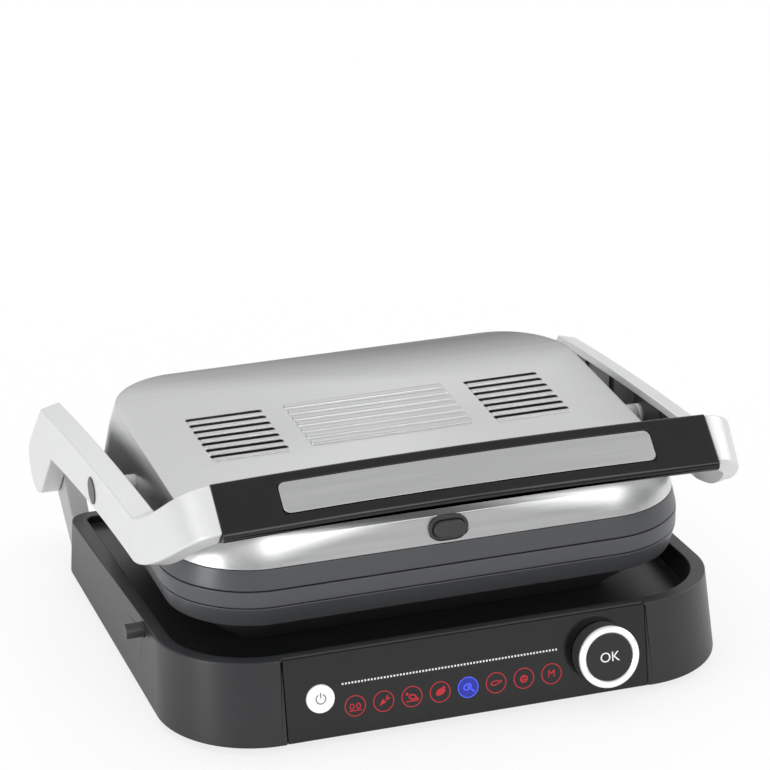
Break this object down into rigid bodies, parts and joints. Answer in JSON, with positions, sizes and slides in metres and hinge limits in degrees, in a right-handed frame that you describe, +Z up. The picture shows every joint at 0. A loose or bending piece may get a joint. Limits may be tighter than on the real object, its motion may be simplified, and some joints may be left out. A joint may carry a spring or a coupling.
{
  "type": "contact grill",
  "caption": "Countertop contact grill with a low base, leaning control panel, hinged bail handle and a steel-clad lid that tilts between the handle's arms.",
  "frame": {"origin": "on the table under the middle of the whole part", "axes": "+X to the right seen from the control panel, +Y to the back, +Z up"},
  "size_m": [0.3717, 0.3586, 0.1728],
  "materials": {
    "base_plastic": "satin charcoal moulding",
    "panel_gloss": "high gloss black",
    "band_grey": "satin anthracite",
    "steel": "brushed stainless sheet",
    "silver": "satin silver",
    "grip_gloss": "gloss black",
    "dark_plastic": "dark grey moulding",
    "chrome": "polished ring",
    "button_white": "white cap",
    "rubber": "black rubber",
    "cast_plate": "non-stick coated casting",
    "reflector": "bright sheet",
    "heater": "heater sheath",
    "board": "circuit board",
    "clear": "clear light guide",
    "pin_steel": "turned steel pin",
    "bracket": "grey painted bracket"
  },
  "bodies": {
    "base": {"base_housing": "base_plastic", "bottom_cover": "base_plastic", "rubber_feet": "rubber", "control_panel": "panel_gloss", "light_guide": "clear", "control_board": "board", "rotary_encoder": "dark_plastic", "knob_bush": "dark_plastic", "power_board": "board", "cord_gland": "dark_plastic", "lower_housing": "band_grey", "lower_trim": "band_grey", "lower_reflector": "reflector", "lower_heating_element": "heater", "lower_grill_plate": "cast_plate", "left_hinge_bracket": "bracket", "right_hinge_bracket": "bracket", "left_hinge_pin": "pin_steel", "right_hinge_pin": "pin_steel"},
    "knob": {"knob_collar": "dark_plastic", "knob_ring": "chrome"},
    "ok_key": {"ok_button": "panel_gloss"},
    "power_key": {"power_button": "button_white"},
    "side_release": {"side_release_button": "dark_plastic"},
    "handle": {"grip_front": "grip_gloss", "grip_back": "dark_plastic", "grip_insert": "steel", "left_arm": "silver", "right_arm": "silver", "left_arm_cover": "dark_plastic", "right_arm_cover": "dark_plastic", "left_lid_pin": "pin_steel", "right_lid_pin": "pin_steel", "left_pivot_cap": "dark_plastic", "right_pivot_cap": "dark_plastic"},
    "lid": {"lid_frame": "band_grey", "upper_grill_plate": "cast_plate", "upper_heating_element": "heater", "upper_reflector": "reflector", "lid_cover": "steel", "latch_bezel": "dark_plastic", "left_lid_pivot": "bracket", "right_lid_pivot": "bracket"},
    "lid_release": {"latch_button": "grip_gloss"}
  },
  "joints": [
    {"name": "handle_hinge", "type": "hinge", "parent": "base", "child": "handle", "pos_m": [0, 0.1605, 0.058], "axis": [-1, 0, 0], "range_deg": [0, 100]},
    {"name": "lid_tilt", "type": "hinge", "parent": "handle", "child": "lid", "pos_m": [0, 0.002, 0.107], "axis": [-1, 0, 0], "range_deg": [-8, 0]},
    {"name": "knob_turn", "type": "hinge", "parent": "base", "child": "knob", "pos_m": [0.0845, -0.16085, 0.02979], "axis": [0, -0.9806, 0.1959], "continuous": true},
    {"name": "ok_push", "type": "slide", "parent": "base", "child": "ok_key", "axis": [0, 0.9806, -0.1959], "range_m": [0, 0.0015], "stiffness_N_per_m": 600},
    {"name": "power_push", "type": "slide", "parent": "base", "child": "power_key", "axis": [0, 0.9806, -0.1959], "range_m": [0, 0.0008], "stiffness_N_per_m": 800},
    {"name": "side_release_push", "type": "slide", "parent": "base", "child": "side_release", "axis": [1, 0, 0], "range_m": [0, 0.0016], "stiffness_N_per_m": 600},
    {"name": "lid_release_push", "type": "slide", "parent": "lid", "child": "lid_release", "axis": [0, 1, 0], "range_m": [0, 0.0024], "stiffness_N_per_m": 600}
  ],
  "couplings": [
    {"joint": "lid_tilt", "follows": "handle_hinge", "ratio": -0.08}
  ]
}
